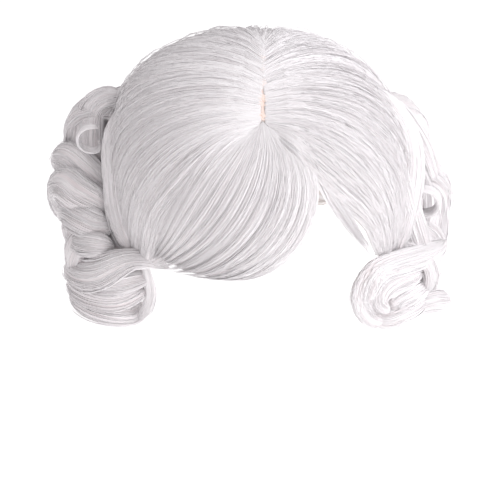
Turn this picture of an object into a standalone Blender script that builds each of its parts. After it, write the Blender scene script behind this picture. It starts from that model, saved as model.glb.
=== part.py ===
"""A short curly wig: a net cap, a scalp strip at the parting, combed crown hair, a swept fringe and rolled curls.

The frame is the head form that the cap is sewn to: the origin is the inside of the crown, +Z up, the face
towards -Y. Places on the head are given as degrees from the crown, p to the side (+X) and q to the back (+Y).
"""

import math
from collections import namedtuple

import bmesh
import bpy
from mathutils import Vector

# Head form and net cap, in metres.
CAP_HALF_WIDTH = 0.077
CAP_HALF_DEPTH = 0.092
CAP_HEIGHT = 0.088
NAPE_TAPER = 0.10
TAPER_DROP = 0.060
CAP_WALL = 0.0015
CLEARANCE = 0.0003
CAP_CLEARANCE = 0.0004
EDGE_ALLOWANCE = 1.4
HAIR_INNER = 0.0006
CUTTER_FOOT = -62.0

# Scalp strip and the hair on the crown.
PARTING_WIDTH = 0.005
PARTING_THICKNESS = 0.001
PARTING_FRONT = -38.0
PARTING_BACK = 5.0
ROOT_THICKNESS = 0.0016
HAIR_THICKNESS = 0.0085
LOCK_RELIEF = 0.0009
EDGE_THINNING = 0.70
END_FULLNESS = 0.0060
LEFT_BULGE = 0.012
RIGHT_BULGE = 0.006
FRINGE_THICKNESS = 0.0065
FRINGE_STANDOFF = 0.0032
TEMPLE_LOCK_WIDTH = 0.009
TEMPLE_LOCK_THICKNESS = 0.004

# Rolled curls: the table below gives each one's sizes as shares of these.
CURL_REACH = 0.030
CURL_RADIUS = 0.016
CURL_WIDTH = 0.027
CURL_THICKNESS = 0.012
NAPE_CURL_REACH = 0.022
NAPE_CURL_RADIUS = 0.0170
NAPE_CURL_WIDTH = 0.041
NAPE_CURL_THICKNESS = 0.011

ROOT_REACH = 60.0
CROWN_END_REACH = 60.0
FRINGE_END_REACH = 50.0

# The cap's edge: degrees round from the face, and degrees above the widest level.
Edge = namedtuple("Edge", "around level")
CAP_EDGE = [
    Edge(0, 53),
    Edge(15, 52),
    Edge(30, 39),
    Edge(45, 13),
    Edge(60, -6),
    Edge(80, -19),
    Edge(98, -8),
    Edge(120, -16),
    Edge(145, -36),
    Edge(180, -42),
]

# How the crown hair lies: its root on the parting, the way it sets off (0 sideways, 90 backwards),
# how far it holds that way, where it ends, and how far its end turns back towards the ear.
Sweep = namedtuple("Sweep", "share root heading hold end_around end_level turn")
LEFT_SWEEP = [
    Sweep(0.00, -36, -14, 1.10, 50, -5, 46),
    Sweep(0.14, -33, -2, 1.42, 66, -19, 26),
    Sweep(0.32, -27, 8, 1.50, 82, -29, 8),
    Sweep(0.50, -16, 32, 1.33, 98, -30, 0),
    Sweep(0.68, -4, 45, 1.33, 122, -28, 0),
    Sweep(0.84, 4, 62, 1.33, 150, -32, 0),
    Sweep(1.00, 8, 90, 1.33, 180, -36, 0),
]
RIGHT_SWEEP = [
    Sweep(0.00, -36, -18, 1.10, 58, -17, 28),
    Sweep(0.16, -31, 2, 1.42, 72, -30, 16),
    Sweep(0.32, -24, 10, 1.33, 87, -30, 0),
    Sweep(0.50, -16, 28, 1.33, 102, -30, 0),
    Sweep(0.68, -4, 45, 1.33, 124, -28, 0),
    Sweep(0.84, 4, 62, 1.33, 150, -32, 0),
    Sweep(1.00, 8, 90, 1.33, 180, -36, 0),
]
CROWN_SHARE = 0.60
SEAM_SHARE = 0.004

# How the fringe lies, from its edge over the forehead to its edge at the temple. Headings are in the p, q plane.
Strand = namedtuple("Strand", "share heading hold end_around end_level end_heading tip")
FRINGE_SWEEP = [
    Strand(0.0, -32, 1.22, 4, 4, -150, 0.5),
    Strand(0.2, -54, 0.98, -9, 2, -150, 1.0),
    Strand(0.4, -86, 0.78, -18, 1, -150, 0.6),
    Strand(0.6, -120, 0.80, -28, 1, -152, 1.0),
    Strand(0.8, -142, 0.87, -38, 0, -158, 0.6),
    Strand(1.0, -158, 0.97, -48, -1, -165, 0.9),
]
FRINGE_ROOT_RIGHT = 4.0
FRINGE_ROOT_SPREAD = 7.0
FRINGE_ROOT = -38.8

# The thin lock that crosses the temple on the right: places on the head in degrees.
Place = namedtuple("Place", "side back")
TEMPLE_LOCK = [
    Place(8, -37),
    Place(23, -47),
    Place(34, -56.5),
    Place(47, -62),
    Place(63, -62),
]

# Each curl is a lock rolled round a centre: degrees round the head from the face (+ is the photo's right),
# reach outside the cap and height below the crown as shares of CURL_REACH and CAP_HEIGHT, the roll's start
# and end radius, the angle where the roll starts (0 outwards, 90 up) and its turn, then width and thickness.
Curl = namedtuple(
    "Curl", "name around reach height radius end_radius start turn width thickness lean"
)
SIDE_CURLS = [
    Curl("curl_left_ringlet", -92, 1.03, 0.80, 0.80, 0.50, 160, -330, 0.56, 0.44, 0),
    Curl("curl_left_upper", -108, 0.86, 0.69, 1.55, 0.98, 140, -250, 1.20, 1.30, 0),
    Curl("curl_left_ear", -86, 0.84, 1.24, 1.50, 0.90, 140, -250, 1.05, 1.10, 0),
    Curl("curl_left_middle", -101, 1.00, 1.07, 1.50, 1.08, 140, -225, 1.20, 1.35, 0),
    Curl("curl_left_inner", -95, 0.66, 1.44, 1.20, 0.60, 150, -300, 1.20, 0.95, 0),
    Curl("curl_left_cheek", -76, 0.80, 1.36, 1.35, 1.02, 180, 220, 1.20, 1.20, 0),
    Curl("curl_left_jaw", -67, 0.76, 1.47, 1.40, 1.25, 120, 240, 1.25, 1.50, 0),
    Curl("curl_right_ringlet", 88, 0.76, 1.22, 0.85, 0.56, 160, -330, 0.56, 0.52, 0),
    Curl("curl_right_upper", 108, 0.46, 0.80, 1.50, 0.95, 130, -190, 1.15, 0.95, 0),
    Curl("curl_right_middle", 101, 0.72, 1.13, 1.38, 1.02, 135, -235, 1.20, 1.20, 0),
    Curl("curl_right_ear", 90, 0.62, 1.46, 1.30, 0.82, 150, -255, 1.05, 1.00, 0),
    Curl("curl_right_cheek", 56, 0.40, 1.375, 1.36, 1.22, 74, 230, 1.60, 1.30, -30),
    Curl("curl_right_inner", 58, 0.46, 1.42, 0.62, 0.46, 40, 220, 1.20, 0.75, -26),
    Curl("curl_right_under", 77, 0.46, 1.52, 1.40, 0.75, 145, -280, 1.20, 1.05, 0),
    Curl("curl_right_jaw", 68, 0.38, 1.56, 1.12, 0.98, 170, 170, 1.35, 1.15, -10),
    Curl("curl_right_flip", 72, 0.86, 1.98, 2.25, 2.08, 134, -74, 0.90, 1.05, 0),
]

# The rows of curls behind the ears and round the nape: height below the crown, reach, first place round
# the head and how many.
Row = namedtuple("Row", "name height reach first step count")
NAPE_ROWS = [
    Row("high", 0.96, 1.00, 122, 23.2, 6),
    Row("middle", 1.29, 1.15, 112, 22.67, 7),
    Row("low", 1.60, 0.95, 102, 22.29, 8),
]
NAPE_LEAN = 9.0
NAPE_START = 140.0
NAPE_TURN = -265.0
NAPE_END_RADIUS = 0.62

HAIR_COLOUR = (0.90, 0.89, 0.91, 1.0)
NET_COLOUR = (0.82, 0.76, 0.70, 1.0)
SCALP_COLOUR = (0.86, 0.66, 0.56, 1.0)

DEGREES_PER_METRE = math.degrees(1 / CAP_HALF_WIDTH)
HAIR_BASE = CAP_WALL + CAP_CLEARANCE


def head_point(p, q, lift):
    """The point `lift` outside the head form, p and q degrees from the crown."""
    from_crown = math.hypot(p, q)
    if from_crown < 1e-6:
        return Vector((0, 0, lift))
    angle = math.radians(from_crown)
    if from_crown <= 90:
        ring = math.sin(angle)
        height = -CAP_HEIGHT + (CAP_HEIGHT + lift) * math.cos(angle)
    else:
        drop = CAP_HEIGHT * (angle - math.pi / 2)
        ring = 1 - NAPE_TAPER * (drop / TAPER_DROP) ** 2
        height = -CAP_HEIGHT - drop
    return Vector(
        (
            (CAP_HALF_WIDTH + lift) * ring * p / from_crown,
            (CAP_HALF_DEPTH + lift) * ring * q / from_crown,
            height,
        )
    )


def place(around, level):
    """p and q of a place given round the head from the face, and above the widest level."""
    angle = math.radians(around)
    return Vector(((90 - level) * math.sin(angle), -(90 - level) * math.cos(angle)))


def smooth_step(low, high, x):
    t = min(1.0, max(0.0, (x - low) / (high - low)))
    return t * t * (3 - 2 * t)


def bell(x, middle, spread):
    return math.exp(-(((x - middle) / spread) ** 2))


def between_rows(rows, x):
    """The row at x of a table whose first column rises, on a smooth curve through its rows."""
    last = len(rows) - 1
    i = max(k for k in range(last) if rows[k][0] <= x + 1e-9)
    t = (x - rows[i][0]) / (rows[i + 1][0] - rows[i][0])
    before, after = rows[max(i - 1, 0)], rows[min(i + 2, last)]
    found = []
    for a, b, c, d in zip(before, rows[i], rows[i + 1], after):
        rise = (c - a) / 2 * (1 if i else 2)
        fall = (d - b) / 2 * (1 if i + 1 < last else 2)
        found.append(
            b * (2 * t**3 - 3 * t**2 + 1)
            + rise * (t**3 - 2 * t**2 + t)
            + c * (3 * t**2 - 2 * t**3)
            + fall * (t**3 - t**2)
        )
    return type(rows[0])(*found)


def hermite(start, start_pull, end, end_pull, t):
    return (
        start * (2 * t**3 - 3 * t**2 + 1)
        + start_pull * (t**3 - 2 * t**2 + t)
        + end * (3 * t**2 - 2 * t**3)
        + end_pull * (t**3 - t**2)
    )


def turned(direction, degrees):
    angle = math.radians(degrees)
    return Vector(
        (
            direction.x * math.cos(angle) - direction.y * math.sin(angle),
            direction.x * math.sin(angle) + direction.y * math.cos(angle),
        )
    )


def crown_place(side, share, along, root_side=1.0):
    """p and q on the crown hair of one side (-1 left, 1 right of the photo)."""
    row = between_rows(LEFT_SWEEP if side < 0 else RIGHT_SWEEP, share)
    root_offset = (PARTING_WIDTH / 2 + CLEARANCE) * DEGREES_PER_METRE
    root = Vector((side * root_side * root_offset, row.root))
    heading = math.radians(row.heading)
    pull = Vector((side * math.cos(heading), math.sin(heading))) * row.hold * ROOT_REACH
    end = place(side * row.end_around, row.end_level)
    end_pull = turned(end.normalized(), side * row.turn) * CROWN_END_REACH
    return hermite(root, pull, end, end_pull, along)


def crown_lift(pq, share, along):
    """How far the crown hair's outer face stands off the head form."""
    side = -1 if pq.x < 0 else 1
    around = math.degrees(math.atan2(pq.x, -pq.y))
    bulge = LEFT_BULGE if side < 0 else RIGHT_BULGE
    full = bell(around, side * 100, 42) * bell(pq.length, 56, 26)
    waves = math.cos(2 * math.pi * 8 * share) * smooth_step(0.15, 0.6, along)
    rise = (HAIR_THICKNESS - ROOT_THICKNESS) * smooth_step(0, 0.35, along)
    rise = rise + END_FULLNESS * smooth_step(0.6, 0.9, along) * smooth_step(0.2, 0.4, share)
    rise = rise * (1 - 0.5 * smooth_step(0.88, 1, along))
    rise = rise * (1 - EDGE_THINNING * (1 - smooth_step(0, 0.12, share)))
    return HAIR_BASE + ROOT_THICKNESS + rise + bulge * full + LOCK_RELIEF * waves


def fringe_place(share, along):
    row = between_rows(FRINGE_SWEEP, share)
    root = Vector((FRINGE_ROOT_RIGHT - FRINGE_ROOT_SPREAD * share, FRINGE_ROOT))
    pull = turned(Vector((1, 0)), row.heading) * row.hold * ROOT_REACH
    end = place(row.end_around, row.end_level)
    end_pull = turned(Vector((1, 0)), row.end_heading) * FRINGE_END_REACH
    return hermite(root, pull, end, end_pull, along)


def new_object(name, mesh, material, collection):
    thing = bpy.data.objects.new(name, mesh)
    thing.data.materials.append(material)
    collection.objects.link(thing)
    return thing


def shell_object(name, inner, outer, columns, rows, material, collection):
    """A closed hair mass between two faces, each a function of two shares from 0 to 1.

    A grid is laid on the inner face and a Solidify gives it the outer one, vertex by vertex.
    """
    work = bmesh.new()
    bmesh.ops.create_grid(work, x_segments=columns, y_segments=rows, size=0.5)
    places = [(v.co.x + 0.5, v.co.y + 0.5) for v in work.verts]
    thickness = []
    for vertex, (a, b) in zip(work.verts, places):
        vertex.co = inner(a, b)
        thickness.append((outer(a, b) - vertex.co).length)
    bmesh.ops.recalc_face_normals(work, faces=work.faces[:])
    work.normal_update()
    middle = Vector((0, 0, -CAP_HEIGHT))
    facing = sum(f.normal.dot(f.calc_center_median() - middle) for f in work.faces)
    if facing < 0:
        bmesh.ops.reverse_faces(work, faces=work.faces[:])
    mesh = bpy.data.meshes.new(name)
    work.to_mesh(mesh)
    work.free()
    thing = new_object(name, mesh, material, collection)
    group = thing.vertex_groups.new(name="thickness")
    most = max(thickness)
    for index, value in enumerate(thickness):
        group.add([index], value / most, "REPLACE")
    solid = thing.modifiers.new("thickness", "SOLIDIFY")
    solid.thickness = most
    solid.offset = 1
    solid.vertex_group = group.name
    return thing


def lock_object(name, centre_line, half_sizes, sides, rings, material, collection):
    """A lock of hair: a sphere drawn out along a line, closed and tapered at both ends.

    centre_line(t) gives a point and the two directions of the lock's thickness and width there.
    """
    work = bmesh.new()
    bmesh.ops.create_uvsphere(work, u_segments=sides, v_segments=rings, radius=1)
    for vertex in work.verts:
        t = math.acos(max(-1.0, min(1.0, vertex.co.z))) / math.pi
        angle = math.atan2(vertex.co.y, vertex.co.x)
        middle, thick_way, wide_way = centre_line(t)
        full = max(0.0, 1 - abs(2 * t - 1) ** 3.2) ** 0.45
        half_thick, half_wide = half_sizes
        if full > 0:
            middle = middle + thick_way * math.cos(angle) * half_thick * full
            middle = middle + wide_way * math.sin(angle) * half_wide * full
        vertex.co = middle
    if work.calc_volume(signed=True) < 0:
        bmesh.ops.reverse_faces(work, faces=work.faces[:])
    mesh = bpy.data.meshes.new(name)
    work.to_mesh(mesh)
    work.free()
    return new_object(name, mesh, material, collection)


def curl_line(curl, reach, height, radius, end_radius):
    """The centre line of one rolled curl, as a function for lock_object."""
    around = math.radians(curl.around)
    centre = Vector(
        (
            (CAP_HALF_WIDTH + reach) * math.sin(around),
            -(CAP_HALF_DEPTH + reach) * math.cos(around),
            -height,
        )
    )
    outwards = Vector(
        (
            math.sin(around) / (CAP_HALF_WIDTH + reach),
            -math.cos(around) / (CAP_HALF_DEPTH + reach),
            0,
        )
    ).normalized()
    up = Vector((0, 0, 1))
    along_head = up.cross(outwards)
    lean = math.radians(curl.lean)
    axis = along_head * math.cos(lean) + outwards * math.sin(lean)
    out = outwards * math.cos(lean) - along_head * math.sin(lean)

    def line(t):
        angle = math.radians(curl.start + curl.turn * t)
        ray = out * math.cos(angle) + up * math.sin(angle)
        return centre + ray * (radius + (end_radius - radius) * t), ray, axis

    return line


def side_curl(curl, material, collection):
    line = curl_line(
        curl,
        curl.reach * CURL_REACH,
        curl.height * CAP_HEIGHT,
        curl.radius * CURL_RADIUS,
        curl.end_radius * CURL_RADIUS,
    )
    half_sizes = (curl.thickness * CURL_THICKNESS / 2, curl.width * CURL_WIDTH / 2)
    return lock_object(curl.name, line, half_sizes, 7, 12, material, collection)


def nape_curls():
    """The rows of the nape as curls, leaning one way and the other in turn."""
    for row in NAPE_ROWS:
        for k in range(row.count):
            around = row.first + row.step * k
            name = f"curl_nape_{row.name}_{k + 1}"
            lean = NAPE_LEAN * (-1) ** k
            around = around if around <= 180 else around - 360
            yield Curl(
                name,
                around,
                row.reach,
                row.height,
                1.0,
                NAPE_END_RADIUS,
                NAPE_START,
                NAPE_TURN,
                1.0,
                1.0,
                lean,
            )


def nape_curl(curl, material, collection):
    line = curl_line(
        curl,
        curl.reach * NAPE_CURL_REACH,
        curl.height * CAP_HEIGHT,
        curl.radius * NAPE_CURL_RADIUS,
        curl.end_radius * NAPE_CURL_RADIUS,
    )
    half_sizes = (NAPE_CURL_THICKNESS / 2, NAPE_CURL_WIDTH / 2)
    return lock_object(curl.name, line, half_sizes, 6, 8, material, collection)


def dome_mesh(name, lift, closed):
    """The head form at a lift: down to the cap's edge, or on down to a closed foot."""
    work = bmesh.new()
    bmesh.ops.create_uvsphere(work, u_segments=24, v_segments=14, radius=1)
    if not closed:
        below = [v for v in work.verts if v.co.z < -1e-4]
        bmesh.ops.delete(work, geom=below, context="VERTS")
    for vertex in work.verts:
        share = math.acos(max(-1.0, min(1.0, vertex.co.z))) / (math.pi / 2)
        around = math.degrees(math.atan2(vertex.co.x, -vertex.co.y))
        edge = between_rows(CAP_EDGE, abs(around))
        level = 90 - share * (90 - edge.level)
        if share > 1:
            level = edge.level + (CUTTER_FOOT - edge.level) * min(1, (share - 1) / 0.7)
        pq = place(around, level)
        vertex.co = head_point(pq.x, pq.y, lift)
        if share > 1.9:
            vertex.co.x = 0
            vertex.co.y = 0
    bmesh.ops.recalc_face_normals(work, faces=work.faces[:])
    bmesh.ops.triangulate(work, faces=work.faces[:])
    mesh = bpy.data.meshes.new(name)
    work.to_mesh(mesh)
    work.free()
    return mesh


def cap_object(material, collection):
    """The net cap, with its wall outwards from the head form."""
    thing = new_object("wig_cap", dome_mesh("wig_cap", 0, False), material, collection)
    wall = thing.modifiers.new("wall", "SOLIDIFY")
    wall.thickness = CAP_WALL
    wall.offset = 1
    return thing


def scalp_object(material, collection):
    """The skin-toned strip that shows between the two sides at the parting."""
    half = PARTING_WIDTH / 2 * DEGREES_PER_METRE

    def face(lift):
        def point(a, b):
            back = PARTING_FRONT + (PARTING_BACK - PARTING_FRONT) * b
            return head_point(half * (2 * a - 1), back, lift)

        return point

    return shell_object(
        "scalp_strip",
        face(HAIR_INNER),
        face(HAIR_BASE + PARTING_THICKNESS),
        2,
        6,
        material,
        collection,
    )


def crown_object(side, material, collection):
    """The combed hair of one side of the crown, from the parting down over the temple and ear."""

    def pq_at(a, b):
        return crown_place(side, CROWN_SHARE * a, b)

    def inner(a, b):
        pq = pq_at(a, b)
        return head_point(pq.x, pq.y, HAIR_INNER)

    def outer(a, b):
        pq = pq_at(a, b)
        return head_point(pq.x, pq.y, crown_lift(pq, CROWN_SHARE * a, b))

    name = "crown_hair_left" if side < 0 else "crown_hair_right"
    return shell_object(name, inner, outer, 12, 9, material, collection)


def back_object(material, collection):
    """The hair of the back of the head, which fans out behind the parting."""
    first = CROWN_SHARE + SEAM_SHARE

    def pq_at(a, b):
        across = 2 * a - 1
        side = -1 if across < 0 else 1
        share = 1 - (1 - first) * abs(across)
        return crown_place(side, share, b, min(1.0, abs(across) / 0.2))

    def inner(a, b):
        pq = pq_at(a, b)
        return head_point(pq.x, pq.y, HAIR_INNER)

    def outer(a, b):
        pq = pq_at(a, b)
        share = 1 - (1 - first) * abs(2 * a - 1)
        return head_point(pq.x, pq.y, crown_lift(pq, share, b))

    return shell_object("back_hair", inner, outer, 15, 9, material, collection)


def fringe_object(material, collection):
    """The fringe: locks fused side by side, swept from the parting across the forehead to the temple."""

    def pq_at(a, b):
        tip = between_rows(FRINGE_SWEEP, a).tip
        return fringe_place(a, b * (0.96 + 0.04 * tip))

    def lift_at(a, b):
        rise = (FRINGE_THICKNESS - ROOT_THICKNESS) * smooth_step(0, 0.3, b)
        rise = rise + (HAIR_BASE - HAIR_INNER) * (1 - smooth_step(0.1, 0.6, b))
        thinning = 1 - 0.45 * smooth_step(0.7, 1, b)
        waves = math.cos(2 * math.pi * 5 * a) * smooth_step(0.2, 0.6, b)
        return (ROOT_THICKNESS + rise) * thinning + LOCK_RELIEF * waves

    def base(b):
        return HAIR_INNER + (FRINGE_STANDOFF - HAIR_INNER) * smooth_step(0.1, 0.6, b)

    def inner(a, b):
        pq = pq_at(a, b)
        return head_point(pq.x, pq.y, base(b))

    def outer(a, b):
        pq = pq_at(a, b)
        return head_point(pq.x, pq.y, base(b) + lift_at(a, b))

    return shell_object("fringe", inner, outer, 14, 7, material, collection)


def temple_lock_object(material, collection):
    """The thin lock between the fringe and the right side, laid on the head form."""
    rows = [(i / (len(TEMPLE_LOCK) - 1), *spot) for i, spot in enumerate(TEMPLE_LOCK)]
    named = [Waypoint(*row) for row in rows]
    lift = FRINGE_STANDOFF + TEMPLE_LOCK_THICKNESS / 2

    def spot(t):
        row = between_rows(named, min(1.0, max(0.0, t)))
        return head_point(row.side, row.back, lift), head_point(row.side, row.back, 0)

    def line(t):
        here, under = spot(t)
        ahead, behind = spot(t + 0.02)[0], spot(t - 0.02)[0]
        outwards = (here - under).normalized()
        along = (ahead - behind).normalized()
        return here, outwards, along.cross(outwards).normalized()

    half_sizes = (TEMPLE_LOCK_THICKNESS / 2, TEMPLE_LOCK_WIDTH / 2)
    return lock_object("temple_lock", line, half_sizes, 8, 12, material, collection)


Waypoint = namedtuple("Waypoint", "share side back")


def solid_mesh(thing):
    """The mesh that a modifier stack gives, as a new mesh."""
    graph = bpy.context.evaluated_depsgraph_get()
    return bpy.data.meshes.new_from_object(thing.evaluated_get(graph))


def settled(thing):
    """The same object with its modifiers worked into its mesh, in triangles so that cuts stay flat."""
    bpy.context.view_layer.update()
    mesh = solid_mesh(thing)
    thing.modifiers.clear()
    work = bmesh.new()
    work.from_mesh(mesh)
    bmesh.ops.triangulate(work, faces=work.faces[:])
    work.to_mesh(mesh)
    work.free()
    thing.data = mesh
    return thing


def islands(work):
    """The separate bodies of a bmesh, each as a list of vertices."""
    left = set(work.verts)
    found = []
    while left:
        stack = [left.pop()]
        body = list(stack)
        while stack:
            for edge in stack.pop().link_edges:
                for vertex in edge.verts:
                    if vertex in left:
                        left.discard(vertex)
                        stack.append(vertex)
                        body.append(vertex)
        found.append(body)
    return found


def swollen(thing, collection):
    """A copy of a piece, a little larger all round, to cut its neighbours clear of it."""
    mesh = thing.data.copy()
    work = bmesh.new()
    work.from_mesh(mesh)
    work.normal_update()
    for vertex in work.verts:
        vertex.co += vertex.normal * CLEARANCE * EDGE_ALLOWANCE
    work.to_mesh(mesh)
    work.free()
    grown = bpy.data.objects.new("clear_" + thing.name, mesh)
    collection.objects.link(grown)
    return grown


def nestle(thing, placed, cutters):
    """Cuts a piece back from those already placed, so that hair presses on hair with a small gap.

    Slivers that the cut leaves loose are cleared away. The piece then counts as placed.
    """
    settled(thing)
    grown = swollen(thing, cutters)
    for other in placed:
        if near(thing, other):
            cut = thing.modifiers.new("clear_of_" + other.name, "BOOLEAN")
            cut.operation = "DIFFERENCE"
            cut.solver = "EXACT"
            cut.object = other
    settled(thing)
    work = bmesh.new()
    work.from_mesh(thing.data)
    bodies = sorted(islands(work), key=len)
    loose = [vertex for body in bodies[:-1] for vertex in body]
    bmesh.ops.delete(work, geom=loose, context="VERTS")
    if work.calc_volume(signed=True) < 0:
        bmesh.ops.reverse_faces(work, faces=work.faces[:])
    work.to_mesh(thing.data)
    work.free()
    placed.append(grown)


def near(thing, other):
    """Whether the boxes round two pieces meet."""
    ends = []
    for item in (thing, other):
        corners = [vertex.co for vertex in item.data.vertices]
        ends.append([(min(c[i] for c in corners), max(c[i] for c in corners)) for i in range(3)])
    return all(a[0] < b[1] and b[0] < a[1] for a, b in zip(*ends))


def plain_material(name, colour, roughness):
    material = bpy.data.materials.new(name)
    material.use_nodes = True
    shader = material.node_tree.nodes["Principled BSDF"]
    shader.inputs["Base Color"].default_value = colour
    shader.inputs["Roughness"].default_value = roughness
    shader.inputs["Metallic"].default_value = 0.0
    material.diffuse_color = colour
    return material


def hide(collection):
    collection.hide_render = True
    for thing in collection.objects:
        thing.hide_render = True
        thing.display_type = "WIRE"


def build():
    for thing in list(bpy.data.objects):
        bpy.data.objects.remove(thing)
    wig = bpy.data.collections.new("curly_wig")
    cutters = bpy.data.collections.new("cutters")
    bpy.context.scene.collection.children.link(wig)
    bpy.context.scene.collection.children.link(cutters)
    hair = plain_material("white_hair", HAIR_COLOUR, 0.45)
    net = plain_material("cap_net", NET_COLOUR, 0.85)
    scalp = plain_material("scalp_skin", SCALP_COLOUR, 0.6)

    cap_object(net, wig)
    form = dome_mesh("clear_cap", HAIR_BASE, True)
    clear_cap = new_object("clear_cap", form, net, cutters)
    placed = [clear_cap]
    nestle(scalp_object(scalp, wig), placed, cutters)
    nestle(crown_object(-1, hair, wig), placed, cutters)
    nestle(crown_object(1, hair, wig), placed, cutters)
    nestle(back_object(hair, wig), placed, cutters)
    nestle(fringe_object(hair, wig), placed, cutters)
    nestle(temple_lock_object(hair, wig), placed, cutters)
    for curl in SIDE_CURLS:
        nestle(side_curl(curl, hair, wig), placed, cutters)
    for curl in nape_curls():
        nestle(nape_curl(curl, hair, wig), placed, cutters)
    hide(cutters)


build()
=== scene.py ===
"""The looks of a short curly wig: combed crown hair, a swept fringe and rolled curls, fibre by fibre."""

import math
from collections import namedtuple

import bmesh
import bpy
import numpy as np
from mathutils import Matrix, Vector


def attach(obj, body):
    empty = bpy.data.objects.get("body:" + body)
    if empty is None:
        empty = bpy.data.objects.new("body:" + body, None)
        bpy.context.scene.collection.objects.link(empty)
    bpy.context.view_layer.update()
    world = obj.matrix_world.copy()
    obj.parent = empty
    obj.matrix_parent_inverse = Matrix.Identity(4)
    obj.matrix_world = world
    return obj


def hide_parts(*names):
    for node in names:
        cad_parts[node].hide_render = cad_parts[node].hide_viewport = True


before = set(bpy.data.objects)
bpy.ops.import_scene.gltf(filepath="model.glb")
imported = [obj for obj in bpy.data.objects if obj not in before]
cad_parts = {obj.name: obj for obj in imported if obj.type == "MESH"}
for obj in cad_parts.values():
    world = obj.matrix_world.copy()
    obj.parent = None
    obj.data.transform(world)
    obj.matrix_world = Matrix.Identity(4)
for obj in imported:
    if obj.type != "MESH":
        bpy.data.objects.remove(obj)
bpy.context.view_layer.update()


# The cap: a knitted net, cut to the hairline and open below, that the hair is sewn to in rows.
# It shows only inside the wig: the net, the rows of stitches, and an elastic band round its edge.
CAP_HALF_WIDTH = 0.077
CAP_HALF_DEPTH = 0.092
CAP_HEIGHT = 0.088
NAPE_TAPER = 0.10
TAPER_DROP = 0.060
CAP_WALL = 0.0015
CAP_COLUMNS = 96
CAP_RINGS = 64
BAND_RADIUS = 0.0013
BAND_LEVEL = 0.995
BAND_STEPS = 120
NET_ROWS = 26.0
NET_FINENESS = 700.0
RIB_FINENESS = 600.0
NET_COLOUR = (0.78, 0.73, 0.70, 1.0)
STITCH_COLOUR = (0.90, 0.88, 0.88, 1.0)

# degrees round the head from the face, level of the edge (90 the crown, 0 the widest part)
CAP_EDGE = [
    (0, 53),
    (15, 52),
    (30, 39),
    (45, 13),
    (60, -6),
    (80, -19),
    (98, -8),
    (120, -16),
    (145, -36),
    (180, -42),
]


def head_point(p, q, lift):
    """Points `lift` outside the head form, p degrees right and q degrees back from the crown."""
    from_crown = np.maximum(np.hypot(p, q), 1e-6)
    angle = np.radians(from_crown)
    drop = np.maximum(CAP_HEIGHT * (angle - np.pi / 2), 0)
    below = from_crown > 90
    ring = np.where(below, 1 - NAPE_TAPER * (drop / TAPER_DROP) ** 2, np.sin(angle))
    height = np.where(below, -CAP_HEIGHT - drop, -CAP_HEIGHT + (CAP_HEIGHT + lift) * np.cos(angle))
    side = (CAP_HALF_WIDTH + lift) * ring * p / from_crown
    back = (CAP_HALF_DEPTH + lift) * ring * q / from_crown
    return np.stack([side, back, height], axis=-1)


def cap_point(around, share, lift):
    """Points on the cap: share runs from 0 at the crown to 1 at the edge."""
    table = np.array(CAP_EDGE, dtype=float)
    edge = 90 - np.interp(np.abs(around), table[:, 0], table[:, 1])
    reach = edge * share
    return head_point(reach * np.sin(np.radians(around)), -reach * np.cos(np.radians(around)), lift)


def new_material(name, colour, roughness):
    material = bpy.data.materials.new(name)
    material.use_nodes = True
    shader = material.node_tree.nodes["Principled BSDF"]
    shader.inputs["Base Color"].default_value = colour
    shader.inputs["Roughness"].default_value = roughness
    return material, material.node_tree, shader


def add_node(tree, kind, **values):
    """A shader node with some inputs set, each by its name, with _ for a space."""
    node = tree.nodes.new("ShaderNode" + kind)
    if kind == "Mix":
        node.data_type = "RGBA"
    for socket, value in values.items():
        node.inputs[socket.replace("_", " ")].default_value = value
    return node


def connect(tree, *wires):
    """Links in a node tree: each wire is a node and its output, then a node and its input."""
    for giver, output, taker, socket in wires:
        tree.links.new(giver.outputs[output], taker.inputs[socket])


def new_piece(name, mesh, material):
    piece = bpy.data.objects.new(name, mesh)
    bpy.context.scene.collection.objects.link(piece)
    mesh.materials.append(material)
    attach(piece, "root")
    return piece


cap_net, tree, shader = new_material("cap_net", NET_COLOUR, roughness=0.9)
where = add_node(tree, "TexCoord")
rows = add_node(tree, "TexWave", Scale=NET_ROWS, Distortion=0.6)
rows.bands_direction = "Z"
row_edge = add_node(tree, "MapRange", From_Min=0.80, From_Max=0.95)
holes = add_node(tree, "TexVoronoi", Scale=NET_FINENESS)
holes.feature = "DISTANCE_TO_EDGE"
threads = add_node(tree, "MapRange", From_Min=0.02, From_Max=0.12, To_Min=0.5, To_Max=0.0)
both = add_node(tree, "Math")
both.operation = "MAXIMUM"
blend = add_node(tree, "Mix", A=NET_COLOUR, B=STITCH_COLOUR)
relief = add_node(tree, "Bump", Strength=0.6, Distance=0.0006)
connect(
    tree,
    (where, "Object", rows, "Vector"),
    (where, "Object", holes, "Vector"),
    (holes, "Distance", threads, "Value"),
    (rows, "Fac", row_edge, "Value"),
    (threads, "Result", both, 0),
    (row_edge, "Result", both, 1),
    (both, "Value", blend, "Factor"),
    (blend, "Result", shader, "Base Color"),
    (both, "Value", relief, "Height"),
    (relief, "Normal", shader, "Normal"),
)

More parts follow.
